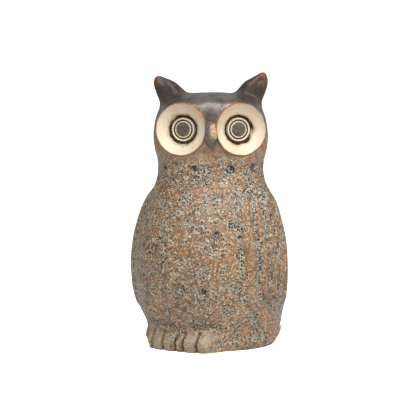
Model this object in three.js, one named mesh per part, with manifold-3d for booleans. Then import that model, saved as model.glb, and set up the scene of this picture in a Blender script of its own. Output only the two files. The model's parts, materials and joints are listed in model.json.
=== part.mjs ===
// Owl figurine of glazed stoneware, in millimetres, +Z up, standing on z = 0.
// The figure is hollow clay. A body shell and a head shell are luted together at the neck, with
// ears, eyes, beak, wings, feet, tail and floor slab pressed or modelled apart and luted on.
// The body, feet and tail face -Y. The head is turned towards +X, to the owl's own left.
import * as THREE from "three";
import { mergeVertices } from "three/addons/utils/BufferGeometryUtils.js";
import Module from "manifold-3d";

const wasm = await Module();
wasm.setup();

// Driving dimensions
const HEIGHT = 190; // to the tip of the taller ear
const HEAD_TURN = THREE.MathUtils.degToRad(30);
const WALL = 5; // thickness of the cast clay shells
const GAP = 0.3; // between clay pieces that are luted together
const NECK_Z = 118; // seam between the body shell and the head shell
const NECK_RADIUS = 36.8;
const CROWN_Z = 174.8; // top of the head between the ears
const FOOT_RING_INNER = 36; // half-width of the opening inside the foot ring
const FLOOR_Z = 1.5; // underside of the floor slab, lifted clear of the table
const FLOOR_THICKNESS = 5;
const VENT_RADIUS = 7; // lets the air out of the hollow figure in the kiln
const FOOT_RING_TOP = 8; // height of the upright wall inside the foot ring
const OUTLYING = 1; // how far a cutting form runs past the clay that it cuts

// Facets round each turned form
const ROUND_STEPS = 56;
const HEAD_STEPS = 48;
const FLOOR_STEPS = 40;
const CAVITY_STEPS = 32;
const DISH_STEPS = 40;
const IRIS_STEPS = 32;
const PUPIL_STEPS = 28;
const EAR_STEPS = 24;

// Half-width, depth to the front and depth to the back, at each height
const BODY_SECTIONS = [
  [0, 44.5, 41, 45],
  [3.5, 46.8, 42, 47.5],
  [11, 48.6, 43.5, 49.3],
  [26, 50.5, 49.5, 50.5],
  [41, 51.5, 55.5, 50.5],
  [57, 51.8, 57.8, 50],
  [72, 50.5, 56.5, 48.5],
  [86, 47.6, 51.5, 46],
  [98, 43.6, 46, 43],
  [109, 39.2, 40.3, 39.8],
  [NECK_Z, NECK_RADIUS, NECK_RADIUS, NECK_RADIUS],
];
const HEAD_SECTIONS = [
  [NECK_Z, NECK_RADIUS, NECK_RADIUS, NECK_RADIUS],
  [126, 36.6, 34.5, 36.5],
  [135, 38.6, 34.2, 37],
  [145, 39.8, 34.5, 37.5],
  [154, 38.8, 35, 37],
  [162, 36.6, 34.8, 35],
  [168, 33, 32.5, 31.5],
  [172, 27, 27.5, 26],
  [CROWN_Z - 0.6, 15.5, 16, 15.5],
  [CROWN_Z, 0, 0, 0],
];
// Radius and height of the hollow in the head
const HEAD_CAVITY = [
  [26, 126],
  [23, 138],
  [23, 150],
  [19, 158],
  [11, 166],
  [0, 168],
];
const HEAD_CAVITY_BACK = 7; // the hollow lies this far behind the middle, clear of the eyes
const SHOULDER_Z = 168; // where the crown begins to close over
const EAR_TIP_Z = HEIGHT;
const RIGHT_EAR_SHORTER = 2.5;
const EAR_FORWARD = 0.5;
// Height, distance from the middle of the head, half-width and half-depth of each ear
const EAR_SECTIONS = [
  [160, 23, 12, 11],
  [168, 24, 11.6, 9.6],
  [172, 25.6, 11.4, 8.6],
  [175.5, 27.4, 10.5, 7.3],
  [179, 29.8, 8.6, 5.9],
  [183, 32.2, 6.3, 4.4],
  [186.5, 34.2, 4.2, 3],
  [189.2, 35.8, 1.9, 1.5],
  [EAR_TIP_Z, 36.2, 0.8, 0.8],
];
const FACE_SQUARENESS = 4.2; // fills the plan out to the rims of the eyes; 2 is an ellipse

const EYE = {
  spread: 20.6, // from the middle of the face to the centre of each dish
  forward: 31.5,
  z: 151.3,
  radius: 18.1,
  depth: 10,
  yaw: THREE.MathUtils.degToRad(18), // each dish looks outwards
  pitch: THREE.MathUtils.degToRad(4), // and a little upwards
  shoulder: -3, // depth at which the outside of a dish begins to draw in
  drawnIn: 4.5, // how far it has drawn in at its base
};
// Heights on an eye are measured from the plane of its rim, and are negative inside the dish.
const LIP = 0.4;
const LIP_FOOT = -0.2;
const BOWL = [
  [14, -2.8],
  [10.4, -5.2],
];
const MOAT_RADIUS = 10;
const MOAT_FLOOR = -7.5; // where the iris is set
const IRIS_RADIUS = 8.1;
const IRIS_TOP = -4.9;
const IRIS_EDGE = 0.3; // chamfer round the iris
const GROOVE_FLOOR = -6.1;
const GROOVE = [6.9, 6.8, 5.9, 5.8]; // radii across the ring groove
const PUPIL_RADIUS = 4.6;
const PUPIL_SIDE_TOP = -5;
const PUPIL_SHOULDER = { inset: 0.8, height: -4.5 };
const PUPIL_TOP = -4.2;

const BEAK_HALF = { width: 5.1, depth: 7.5, height: 8.9 };
const BEAK_CENTRE = new THREE.Vector3(0, -35.5, 148.4);
const BEAK_TAPER = 0.45; // share of its width that the beak has lost at its lower tip

const WING_THICKNESS = 2.4;
// The wings sweep down from the shoulder and then back to the tail. The outline is [y, z].
const WING_OUTLINE = [
  [-6, 115],
  [-22, 104],
  [-31.5, 82],
  [-31, 50],
  [-25, 28],
  [-9, 13],
  [12, 5.5],
  [30, 6],
  [39, 20],
  [38, 50],
  [31, 82],
  [16, 108],
  [-6, 115],
];
const TAIL_THICKNESS = 3.6;
// The tail is a short apron between the wing tips. The outline is [x, z].
const TAIL_OUTLINE = [
  [-13, 0],
  [-12, 14],
  [-9, 30],
  [0, 40],
  [9, 30],
  [12, 14],
  [13, 0],
];
// Middle of each toe of the left foot, as [x, y], and the toes' half-sizes and height
const TOES = [
  [4.7, -40],
  [12.4, -39.7],
  [19.8, -38],
];
const TOE_HALF = new THREE.Vector3(4.4, 11, 12.5);
const TOE_Z = 3.2;

const GLAZES = {
  reactive: { color: 0xa0876a, roughness: 0.5, metalness: 0 },
  iron: { color: 0x5a5048, roughness: 0.35, metalness: 0.35 },
  cream: { color: 0xe6d7bd, roughness: 0.55, metalness: 0 },
  pupil: { color: 0x5c5145, roughness: 0.4, metalness: 0.2 },
  clay: { color: 0xb59a78, roughness: 0.9, metalness: 0 },
};

// Solids and geometries

function solidOf(geometry) {
  const bare = new THREE.BufferGeometry();
  bare.setAttribute("position", geometry.getAttribute("position"));
  bare.setIndex(geometry.getIndex());
  const merged = mergeVertices(bare, 1e-3);
  return new wasm.Manifold(
    new wasm.Mesh({
      numProp: 3,
      vertProperties: new Float32Array(merged.attributes.position.array),
      triVerts: new Uint32Array(merged.index.array),
    }),
  );
}

function geometryOf(solid) {
  const mesh = solid.getMesh();
  const geometry = new THREE.BufferGeometry();
  geometry.setAttribute("position", new THREE.BufferAttribute(mesh.vertProperties, 3));
  geometry.setIndex(new THREE.BufferAttribute(mesh.triVerts, 1));
  return geometry;
}

function piece(name, glaze, solid) {
  const mesh = new THREE.Mesh(geometryOf(solid), new THREE.MeshStandardMaterial(GLAZES[glaze]));
  mesh.name = name;
  return mesh;
}

// A closed profile of [radius, height] points, from the bottom up on its outer side, turned about Z.
function turned(profile, steps) {
  const points = profile.map(([radius, height]) => new THREE.Vector2(radius, height));
  return new THREE.LatheGeometry(points, steps).rotateX(Math.PI / 2);
}

function moveVertices(geometry, place) {
  const positions = geometry.getAttribute("position");
  const point = new THREE.Vector3();
  for (let i = 0; i < positions.count; i++) {
    place(point.fromBufferAttribute(positions, i));
    positions.setXYZ(i, point.x, point.y, point.z);
  }
  return geometry;
}

// Turns every face round, after a mirror image has turned them inside out.
function flipped(geometry) {
  const index = geometry.getIndex();
  for (let i = 0; i < index.count; i += 3) {
    const first = index.getX(i);
    index.setX(i, index.getX(i + 1));
    index.setX(i + 1, first);
  }
  return geometry;
}

function box(low, high) {
  const size = high.map((value, axis) => value - low[axis]);
  const middle = high.map((value, axis) => (value + low[axis]) / 2);
  return new THREE.BoxGeometry(...size).translate(...middle);
}

// The round, uneven forms of body and head

function sectionCurve(sections) {
  const heights = sections.map((section) => section[0]);
  const values = sections.flatMap((section) => section.slice(1));
  const curve = new THREE.CubicInterpolant(heights, values, 3, new Float32Array(3));
  return (z) => {
    const inside = THREE.MathUtils.clamp(z, heights[0], heights[heights.length - 1]);
    const [width, front, back] = curve.evaluate(inside);
    return { width, front, back };
  };
}

const bodyAt = sectionCurve(BODY_SECTIONS);
const headAt = sectionCurve(HEAD_SECTIONS);
const earAt = sectionCurve(EAR_SECTIONS);

// Gives a round form its front and back depths. squareness fills its front out towards a square.
function shapeLikeSections(geometry, sectionAt, offset, squareness = () => 2) {
  return moveVertices(geometry, (point) => {
    const { width, front, back } = sectionAt(point.z);
    const depth = point.y < 0 ? front : back;
    const radius = Math.hypot(point.x, point.y);
    if (radius < 1e-6 || width + offset < 1e-3) return;
    const power = point.y < 0 ? squareness(point.z) : 2;
    const corner =
      Math.pow(Math.abs(point.x / radius), power) + Math.pow(Math.abs(point.y / radius), power);
    const filled = Math.pow(corner, -1 / power);
    point.x *= filled;
    point.y *= (filled * (depth + offset)) / (width + offset);
  });
}

function heightsBetween(low, high, steps) {
  return Array.from({ length: steps + 1 }, (_, i) => low + ((high - low) * i) / steps);
}

// The body's outside, grown by offset. It is solid, from z = bottom up to the neck seam.
function bodyForm(offset, bottom = 0, top = NECK_Z) {
  const low = [0, 2, 5, 9, 14];
  const heights = [...low, ...heightsBetween(20, NECK_Z, 14)];
  const outside = heights.map((z) => [bodyAt(z).width + offset, z]);
  outside[0][1] = bottom;
  outside[outside.length - 1][1] = top;
  const profile = [[0, bottom], ...outside, [0, top]];
  return solidOf(shapeLikeSections(turned(profile, ROUND_STEPS), bodyAt, offset));
}

function headForm(offset) {
  const heights = [...heightsBetween(NECK_Z, SHOULDER_Z, 9), 170.5, 172.5, CROWN_Z - 0.6];
  const raised = (z) => z + (z > SHOULDER_Z ? offset : 0);
  const outside = heights.map((z) => [headAt(z).width + offset, raised(z)]);
  const profile = [[0, NECK_Z], ...outside, [0, CROWN_Z + offset]];
  const { lerp, smoothstep } = THREE.MathUtils;
  const square = (z) =>
    lerp(2, FACE_SQUARENESS, smoothstep(z, 122, 138) * (1 - smoothstep(z, 158, CROWN_Z)));
  const form = shapeLikeSections(turned(profile, HEAD_STEPS), headAt, offset, square);
  return solidOf(form);
}

// Body shell and floor

function bodyCavity() {
  const inner = heightsBetween(14, NECK_Z, 10).map((z) => [bodyAt(z).width - WALL, z]);
  inner[inner.length - 1][1] = NECK_Z + OUTLYING;
  const ring = [
    [FOOT_RING_INNER, -OUTLYING],
    [FOOT_RING_INNER, FOOT_RING_TOP],
  ];
  const profile = [[0, -OUTLYING], ...ring, ...inner, [0, NECK_Z + OUTLYING]];
  const straightAtTheFoot = (z) => bodyAt(z < FOOT_RING_TOP + OUTLYING ? 0 : z);
  return solidOf(shapeLikeSections(turned(profile, ROUND_STEPS), straightAtTheFoot, -WALL));
}

function bodyShell() {
  return bodyForm(0).subtract(bodyCavity());
}

function floorSlab() {
  const radius = FOOT_RING_INNER - GAP;
  const top = FLOOR_Z + FLOOR_THICKNESS;
  const profile = [
    [VENT_RADIUS, FLOOR_Z],
    [radius, FLOOR_Z],
    [radius, top],
    [VENT_RADIUS, top],
    [VENT_RADIUS, FLOOR_Z],
  ];
  const clearance = 0.5; // to the body shell in front of and behind the slab
  const slab = moveVertices(turned(profile, FLOOR_STEPS), (point) => {
    const ring = Math.hypot(point.x, point.y) > VENT_RADIUS + 1;
    const { width, front, back } = bodyAt(0);
    const depth = point.y < 0 ? front : back;
    if (ring) point.y *= (depth - WALL - clearance) / (width - WALL);
  });
  return solidOf(slab);
}

// Head shell

function headCavity() {
  const mouth = NECK_RADIUS - WALL - 2;
  const low = NECK_Z - OUTLYING;
  const profile = [[0, low], [mouth, low], ...HEAD_CAVITY];
  return solidOf(
    moveVertices(turned(profile, CAVITY_STEPS), (point) => {
      point.y += HEAD_CAVITY_BACK * THREE.MathUtils.smoothstep(point.z, NECK_Z, 140);
    }),
  );
}

function eyeMatrix(side) {
  const turn = new THREE.Euler(Math.PI / 2 - EYE.pitch, 0, side * EYE.yaw, "ZYX");
  const matrix = new THREE.Matrix4().makeRotationFromEuler(turn);
  return matrix.setPosition(side * EYE.spread, -EYE.forward, EYE.z);
}

// The clay that the head gives up for a dish, or the dish's own outside when grow is 0.
function dishOutside(side, grow, front) {
  const profile = [
    [0, -EYE.depth - grow],
    [EYE.radius - EYE.drawnIn + grow, -EYE.depth - grow],
    [EYE.radius + grow, EYE.shoulder],
    [EYE.radius + grow, front],
    [0, front],
  ];
  return solidOf(turned(profile, DISH_STEPS).applyMatrix4(eyeMatrix(side)));
}

function headShell() {
  return [-1, 1].reduce(
    (head, side) => head.subtract(dishOutside(side, GAP, 12)),
    headForm(0).subtract(headCavity()),
  );
}

// Eyes: a dish, an iris disc set in it, and a pupil button

function eyeDish(side) {
  const rim = EYE.radius;
  const profile = [
    [0, -EYE.depth],
    [rim - EYE.drawnIn, -EYE.depth],
    [rim, EYE.shoulder],
    [rim, LIP_FOOT],
    [rim - 0.5, LIP],
    [rim - 1.1, LIP_FOOT],
    ...BOWL,
    [MOAT_RADIUS, MOAT_FLOOR],
    [0, MOAT_FLOOR],
  ];
  return solidOf(turned(profile, DISH_STEPS).applyMatrix4(eyeMatrix(side)));
}

function iris(side) {
  const seat = MOAT_FLOOR + GAP;
  const profile = [
    [0, seat],
    [IRIS_RADIUS, seat],
    [IRIS_RADIUS, IRIS_TOP - IRIS_EDGE],
    [IRIS_RADIUS - IRIS_EDGE, IRIS_TOP],
    [GROOVE[0], IRIS_TOP],
    [GROOVE[1], GROOVE_FLOOR],
    [GROOVE[2], GROOVE_FLOOR],
    [GROOVE[3], IRIS_TOP],
    [PUPIL_RADIUS + GAP, IRIS_TOP],
    [PUPIL_RADIUS + GAP, GROOVE_FLOOR],
    [0, GROOVE_FLOOR],
  ];
  return solidOf(turned(profile, IRIS_STEPS).applyMatrix4(eyeMatrix(side)));
}

function pupil(side) {
  const profile = [
    [0, GROOVE_FLOOR + GAP],
    [PUPIL_RADIUS, GROOVE_FLOOR + GAP],
    [PUPIL_RADIUS, PUPIL_SIDE_TOP],
    [PUPIL_RADIUS - PUPIL_SHOULDER.inset, PUPIL_SHOULDER.height],
    [0, PUPIL_TOP],
  ];
  return solidOf(turned(profile, PUPIL_STEPS).applyMatrix4(eyeMatrix(side)));
}

// Beak: a pellet of clay between the dishes, drawn to a point below
function beak() {
  const pellet = moveVertices(new THREE.SphereGeometry(1, 20, 14), (point) => {
    const taper = point.z < 0 ? 1 - BEAK_TAPER * point.z * point.z : 1;
    point.set(
      point.x * BEAK_HALF.width * taper,
      point.y * BEAK_HALF.depth * taper,
      point.z * BEAK_HALF.height,
    );
    point.add(BEAK_CENTRE);
  });
  return [-1, 1].reduce(
    (clay, side) => clay.subtract(dishOutside(side, GAP, 3)),
    solidOf(pellet).subtract(headForm(GAP)),
  );
}

// Ears: clay pinched to a point at each side of the crown. The outer edge stands nearly upright
// and the inner edge slopes down into the crown.
function ear(side, tipZ) {
  const rise = tipZ - EAR_TIP_Z;
  const outline = EAR_SECTIONS.map((section) => [1, section[0]]);
  const profile = [[0, EAR_SECTIONS[0][0]], ...outline, [0, EAR_TIP_Z]];
  const cone = moveVertices(turned(profile, EAR_STEPS), (point) => {
    const { width: middle, front: halfWidth, back: halfDepth } = earAt(point.z);
    const { smoothstep } = THREE.MathUtils;
    point.x = side * (middle + point.x * halfWidth);
    point.y = -EAR_FORWARD + point.y * halfDepth;
    point.z += rise * smoothstep(point.z, CROWN_Z, EAR_TIP_Z);
  });
  const outwards = solidOf(side > 0 ? cone : flipped(cone));
  return outwards.subtract(headForm(GAP));
}

// Pieces that lie on the body: a slab of its outside, cut to an outline

function slabOnBody(thickness, outlinePoints, place) {
  const curve = new THREE.SplineCurve(outlinePoints.map(([u, z]) => new THREE.Vector2(u, z)));
  const shape = new THREE.Shape(curve.getPoints(outlinePoints.length * 3));
  const prism = new THREE.ExtrudeGeometry(shape, { depth: 70, bevelEnabled: false });
  const cutter = solidOf(prism.applyMatrix4(place));
  return bodyForm(thickness).intersect(cutter).subtract(bodyForm(GAP, -OUTLYING, NECK_Z + OUTLYING));
}

function wing(side) {
  const place = new THREE.Matrix4().makeBasis(
    new THREE.Vector3(0, 1, 0),
    new THREE.Vector3(0, 0, 1),
    new THREE.Vector3(1, 0, 0),
  );
  const slab = slabOnBody(WING_THICKNESS, WING_OUTLINE, place);
  return side > 0 ? slab : slab.mirror([1, 0, 0]);
}

function tail() {
  const place = new THREE.Matrix4().makeBasis(
    new THREE.Vector3(-1, 0, 0),
    new THREE.Vector3(0, 0, 1),
    new THREE.Vector3(0, 1, 0),
  );
  const slab = slabOnBody(TAIL_THICKNESS, TAIL_OUTLINE, place);
  return [-1, 1].reduce((apron, side) => apron.subtract(wingSpace(side)), slab);
}

// The wing, and the gap that the tail leaves beside it.
function wingSpace(side) {
  const taken = wing(side);
  return taken.add(taken.translate([-side * 2 * GAP, 0, 0]));
}

// Feet: three toes pressed from one pad of clay, under the belly
function foot(side) {
  const toes = TOES.map(([x, y]) => {
    const toe = new THREE.SphereGeometry(1, 14, 10);
    return solidOf(toe.scale(...TOE_HALF).translate(side * x, y, TOE_Z));
  });
  const table = solidOf(box([-80, -80, 0], [80, 80, 80]));
  return toes
    .reduce((pad, toe) => pad.add(toe))
    .intersect(table)
    .subtract(bodyForm(GAP, -OUTLYING, NECK_Z + OUTLYING));
}

// Assembly

const owl = new THREE.Group();

const body = new THREE.Group();
body.add(piece("body_shell", "reactive", bodyShell()));
body.add(piece("floor_slab", "clay", floorSlab()));
body.add(piece("tail", "reactive", tail()));
owl.add(body);

const head = new THREE.Group();
head.rotation.z = HEAD_TURN;
head.add(piece("head_shell", "iron", headShell()));
head.add(piece("beak", "iron", beak()));
owl.add(head);

for (const [name, side] of [
  ["right", -1],
  ["left", 1],
]) {
  body.add(piece(`wing_${name}`, "reactive", wing(side)));
  body.add(piece(`foot_${name}`, "reactive", foot(side)));
  const tipZ = side > 0 ? HEIGHT : HEIGHT - RIGHT_EAR_SHORTER;
  head.add(piece(`ear_${name}`, "iron", ear(side, tipZ)));
  head.add(piece(`eye_dish_${name}`, "cream", eyeDish(side)));
  head.add(piece(`iris_${name}`, "cream", iris(side)));
  head.add(piece(`pupil_${name}`, "pupil", pupil(side)));
}

// The origin is the middle of the footprint of the figure's bounding box.
const extent = new THREE.Box3().setFromObject(owl);
const middle = extent.getCenter(new THREE.Vector3());
for (const part of [body, head]) part.position.set(-middle.x, -middle.y, 0);

export default owl;
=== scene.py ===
import json
import math

import bpy
import numpy as np
from mathutils import Matrix, Vector

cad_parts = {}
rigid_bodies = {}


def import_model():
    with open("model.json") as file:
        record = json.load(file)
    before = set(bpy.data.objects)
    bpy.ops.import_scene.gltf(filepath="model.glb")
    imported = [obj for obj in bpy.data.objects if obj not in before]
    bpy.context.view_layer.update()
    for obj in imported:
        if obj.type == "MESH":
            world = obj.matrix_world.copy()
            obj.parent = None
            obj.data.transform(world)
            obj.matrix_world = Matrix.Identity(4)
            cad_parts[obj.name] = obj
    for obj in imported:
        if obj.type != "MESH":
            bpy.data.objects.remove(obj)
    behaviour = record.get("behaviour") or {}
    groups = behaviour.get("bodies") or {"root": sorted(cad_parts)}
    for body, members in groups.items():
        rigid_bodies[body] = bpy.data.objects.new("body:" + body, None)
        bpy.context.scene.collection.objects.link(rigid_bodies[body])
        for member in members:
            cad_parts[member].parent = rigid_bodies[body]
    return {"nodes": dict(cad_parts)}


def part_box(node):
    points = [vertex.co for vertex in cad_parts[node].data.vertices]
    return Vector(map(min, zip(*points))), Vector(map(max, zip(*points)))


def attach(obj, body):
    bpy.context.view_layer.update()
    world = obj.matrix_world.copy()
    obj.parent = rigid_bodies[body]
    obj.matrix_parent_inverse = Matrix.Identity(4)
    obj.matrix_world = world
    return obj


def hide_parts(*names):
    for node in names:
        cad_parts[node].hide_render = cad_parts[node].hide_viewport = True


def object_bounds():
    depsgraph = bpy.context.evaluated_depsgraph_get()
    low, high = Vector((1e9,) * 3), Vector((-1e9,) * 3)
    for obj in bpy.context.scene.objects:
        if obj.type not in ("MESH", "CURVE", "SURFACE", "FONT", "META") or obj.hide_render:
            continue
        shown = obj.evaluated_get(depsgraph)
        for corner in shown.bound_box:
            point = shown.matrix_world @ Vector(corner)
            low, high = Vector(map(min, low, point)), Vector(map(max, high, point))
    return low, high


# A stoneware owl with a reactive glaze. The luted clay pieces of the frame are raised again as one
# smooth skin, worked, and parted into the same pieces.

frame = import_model()
cad_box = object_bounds()

MM = 0.001

# Sizes in millimetres, and angles in degrees
CLAY_GRAIN = 0.82  # spacing of the skin's points
SPONGE_ROUNDS = 26  # how often the sponge goes over the skin
FAR = 50.0  # farther than any form reaches
EYE_SPREAD = 20.6
EYE_FORWARD = 31.5
EYE_HEIGHT = 151.3
EYE_YAW = 18
EYE_PITCH = 4
EYE_RADIUS = 18.1
SOCKET_GAP = 0.12
FAR_FROM_EYE = 20  # distance from the eye's middle that is painted as 1
NECK_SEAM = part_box("body_shell")[1].z / MM
EAR_ROOT = 171  # height at which the ears part from the crown
THUMB_DEPTH = 1.5  # press of a thumb in the front of an ear
EAR_PLUMPING = 1.4
TIP_SHORTENING = 2.4
HOLLOW_FLOOR = 7  # recess under the figure, above the floor slab
RING_MIDDLE = 38.5  # radius of the ring that the figure stands on
WING_FRONT = 53  # angle of the wing's front edge, round from the middle of the belly
WING_BACK = 138
WING_BOTTOM = 3.5
WING_RISE = 1.1  # how far a wing stands out at its edge
FLUTE_DEPTH = 3
SWEEP_BELOW = 42  # heights below which the feathers sweep back, and bow
BOW_BELOW = 40
SHOULDER_ANGLE = 95  # where the feathers gather
SHOULDER_LOW = 92  # heights between which they gather
SHOULDER_TOP = 126
FEATHERS = 7
TAIL_TOP = 42
TAIL_HALF_WIDTH = 13.2
TAIL_FLUTES = (0, 4.6, 8.8)  # distances from the middle of the tail
DOTS_Z = 125.3  # ring of stamped dots round the neck
TOE_GROOVES = {1: (5.8, 15.8), -1: (10.4, 19.5)}  # left and right foot, which differ a little
TOE_TIPS = 50.6  # how far the toes reach in front of the axis
TOE_HOLES = 12.4  # height of the pricked hole at the top of each groove
FOOT_OUTSIDE = 30
FOOT_TOP = 22
EDGE_DIP = 0.7  # how far the edge of a laid-on piece goes under the skin
ON_GROUND = 0.4  # points below this height stand on the ground
GROOVE_GLAZE = 0.84  # how much glaze pools in a flute
CAMERA_AZIMUTH = 30
CAMERA_ELEVATION = 6.5


# Objects and edit mode


def select_only(*pieces):
    bpy.ops.object.select_all(action="DESELECT")
    for piece in pieces:
        piece.select_set(True)
    bpy.context.view_layer.objects.active = pieces[0]


def new_piece(name, mesh):
    piece = bpy.data.objects.new(name, mesh)
    bpy.context.scene.collection.objects.link(piece)
    select_only(piece)
    return piece


def edit(piece, *steps):
    """Runs each step in edit mode, with all of the piece selected before it."""
    select_only(piece)
    bpy.ops.object.mode_set(mode="EDIT")
    for step in steps:
        bpy.ops.mesh.select_all(action="SELECT")
        step()
    bpy.ops.object.mode_set(mode="OBJECT")


def drop_points(piece, chosen, *steps):
    """Deletes the chosen points, after any steps that change what is chosen."""
    select_only(piece)
    bpy.ops.object.mode_set(mode="EDIT")
    bpy.ops.mesh.select_all(action="DESELECT")
    bpy.ops.object.mode_set(mode="OBJECT")
    piece.data.vertices.foreach_set("select", chosen)
    bpy.ops.object.mode_set(mode="EDIT")
    bpy.ops.mesh.select_mode(type="VERT")
    for step in steps:
        step()
    bpy.ops.mesh.delete(type="VERT")
    bpy.ops.object.mode_set(mode="OBJECT")


def close_up():
    bpy.ops.mesh.remove_doubles(threshold=0.002 * MM)


def turn_over_choice():
    bpy.ops.mesh.select_all(action="INVERT")


def face_out():
    bpy.ops.mesh.normals_make_consistent(inside=False)


def copy_of_node(node, name):
    piece = new_piece(name, frame["nodes"][node].data.copy())
    piece.data.materials.clear()
    bpy.ops.mesh.customdata_custom_splitnormals_clear()
    edit(piece, close_up)
    return piece


def copy_of_piece(piece, name):
    return new_piece(name, piece.data.copy())


def apply_modifier(piece, kind, **settings):
    select_only(piece)
    modifier = piece.modifiers.new(kind.title(), kind)
    for name, value in settings.items():
        setattr(modifier, name, value)
    bpy.ops.object.modifier_apply(modifier=modifier.name)


def spun(name, profile, steps, place=None):
    """A profile of (radius, height) points in millimetres, turned about Z and closed."""
    mesh = bpy.data.meshes.new(name)
    points = [(radius * MM, 0, height * MM) for radius, height in profile]
    mesh.from_pydata(points, [(i, i + 1) for i in range(len(points) - 1)], [])
    piece = new_piece(name, mesh)
    turn = dict(steps=steps, angle=2 * math.pi, center=(0, 0, 0), axis=(0, 0, 1))
    edit(piece, lambda: bpy.ops.mesh.spin(**turn), close_up, face_out)
    if place is not None:
        piece.data.transform(place)
    return piece


def roughened(piece, size, depth):
    """Low waves in the surface, because nothing made by hand is quite even."""
    texture = bpy.data.textures.new("waves", "CLOUDS")
    texture.noise_scale = size * MM
    settings = dict(texture=texture, texture_coords="LOCAL", strength=depth * MM, mid_level=0.5)
    apply_modifier(piece, "DISPLACE", **settings)


def joined(first, *others):
    select_only(first, *others)
    bpy.ops.object.join()
    return first


def remeshed(piece, grain):
    select_only(piece)
    piece.data.remesh_voxel_size = grain * MM
    piece.data.remesh_voxel_adaptivity = 0
    bpy.ops.object.voxel_remesh()
    return piece


def keep_outer_skin(piece):
    """Drops the closed hollows inside, which nothing of the outer skin touches."""
    height = points_of(piece)[:, 2]
    drop_points(piece, height == height.max(), bpy.ops.mesh.select_linked, turn_over_choice)


def parted(piece, point, normal, keep_above):
    """Cuts the piece along a plane, keeps one side, and closes the cut."""
    cut = dict(
        plane_co=[value * MM for value in point],
        plane_no=normal,
        use_fill=True,
        clear_inner=keep_above,
        clear_outer=not keep_above,
    )
    edit(piece, lambda: bpy.ops.mesh.bisect(**cut))
    return piece


# Points as numbers, in millimetres


def points_of(piece):
    flat = np.empty(len(piece.data.vertices) * 3, np.float32)
    piece.data.vertices.foreach_get("co", flat)
    return flat.reshape(-1, 3).astype(float) / MM


def normals_of(piece):
    flat = np.empty(len(piece.data.vertices) * 3, np.float32)
    piece.data.vertex_normals.foreach_get("vector", flat)
    return flat.reshape(-1, 3).astype(float)


def move_points(piece, points):
    piece.data.vertices.foreach_set("co", (points * MM).astype(np.float32).ravel())
    piece.data.update()


def paint(piece, name, values):
    """Stores one number for each point of the piece, for its glaze to read."""
    layer = piece.data.attributes.get(name) or piece.data.attributes.new(name, "FLOAT", "POINT")
    layer.data.foreach_set("value", np.clip(values, 0, 1).astype(np.float32))


def rise(low, high, values):
    """0 below low, 1 above high, and smooth between them."""
    share = np.clip((np.asarray(values) - low) / (high - low), 0, 1)
    return share * share * (3 - 2 * share)


def neighbour_mean(piece, values, rounds):
    ends = np.empty(len(piece.data.edges) * 2, np.int32)
    piece.data.edges.foreach_get("vertices", ends)
    first, second = ends.reshape(-1, 2).T
    count = np.bincount(ends, minlength=len(values)).clip(1)
    for _ in range(rounds):
        total = np.stack(
            [
                np.bincount(first, column[second], len(values))
                + np.bincount(second, column[first], len(values))
                for column in values.T
            ],
            axis=1,
        )
        values = total / count[:, None]
    return values


def sharpness(piece, rounds):
    """How far each point stands out from the skin round it, in millimetres."""
    points = points_of(piece)
    return np.sum((points - neighbour_mean(piece, points, rounds)) * normals_of(piece), axis=1)


# Where things are on the figure


def middle_of_top_rim(node):
    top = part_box(node)[1].z - 0.01 * MM
    rim = [v.co for v in frame["nodes"][node].data.vertices if v.co.z > top]
    lows_and_highs = [(min(p[i] for p in rim), max(p[i] for p in rim)) for i in (0, 1)]
    return [(low + high) / 2 / MM for low, high in lows_and_highs]


def middle_of(node):
    low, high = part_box(node)
    return (low + high) / 2


AXIS_X, AXIS_Y = middle_of_top_rim("body_shell")
across_the_face = middle_of("iris_left") - middle_of("iris_right")
HEAD_TURN = math.atan2(across_the_face.y, across_the_face.x)


def face_place():
    middle = Matrix.Translation((AXIS_X * MM, AXIS_Y * MM, 0))
    return middle @ Matrix.Rotation(HEAD_TURN, 4, "Z")


def eye_place(side):
    centre = Vector((side * EYE_SPREAD, -EYE_FORWARD, EYE_HEIGHT)) * MM
    yaw = Matrix.Rotation(side * math.radians(EYE_YAW), 4, "Z")
    pitch = Matrix.Rotation(math.radians(90 - EYE_PITCH), 4, "X")
    return face_place() @ Matrix.Translation(centre) @ yaw @ pitch


def seen_from(place, points):
    """The points in a place's own axes."""
    inverse = np.array(place.inverted())
    return points @ inverse[:3, :3].T + inverse[:3, 3] / MM


def round_the_body(points):
    """Angle round from the middle of the belly in degrees, height, and distance from the axis."""
    x, y = points[:, 0] - AXIS_X, points[:, 1] - AXIS_Y
    return np.degrees(np.arctan2(x, -y)), points[:, 2], np.hypot(x, y)


# The clay skin


def plug(name, radius, low, high):
    bpy.ops.mesh.primitive_cylinder_add(
        vertices=64,
        radius=radius * MM,
        depth=(high - low) * MM,
        location=Vector((AXIS_X, AXIS_Y, (low + high) / 2)) * MM,
    )
    bpy.context.object.name = name
    bpy.ops.object.transform_apply()
    return bpy.context.object


def eye_cup(side):
    """Clay round an eye, which swells out to the rim of its dish."""
    profile = [(0, -15), (14.5, -15), (18.4, -8), (19.3, -2.4), (19.2, -0.9), (18.6, -0.2), (0, -0.2)]
    return spun(f"cup{side}", profile, 64, eye_place(side))


def ear_root(side):
    bpy.ops.mesh.primitive_uv_sphere_add(segments=24, ring_count=16, radius=MM)
    root = bpy.context.object
    shape = Matrix.Diagonal((9.5, 6.6, 8, 1))
    middle = Matrix.Translation(Vector((side * 26, -0.5, 167)) * MM)
    root.data.transform(face_place() @ middle @ shape)
    return root


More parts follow.
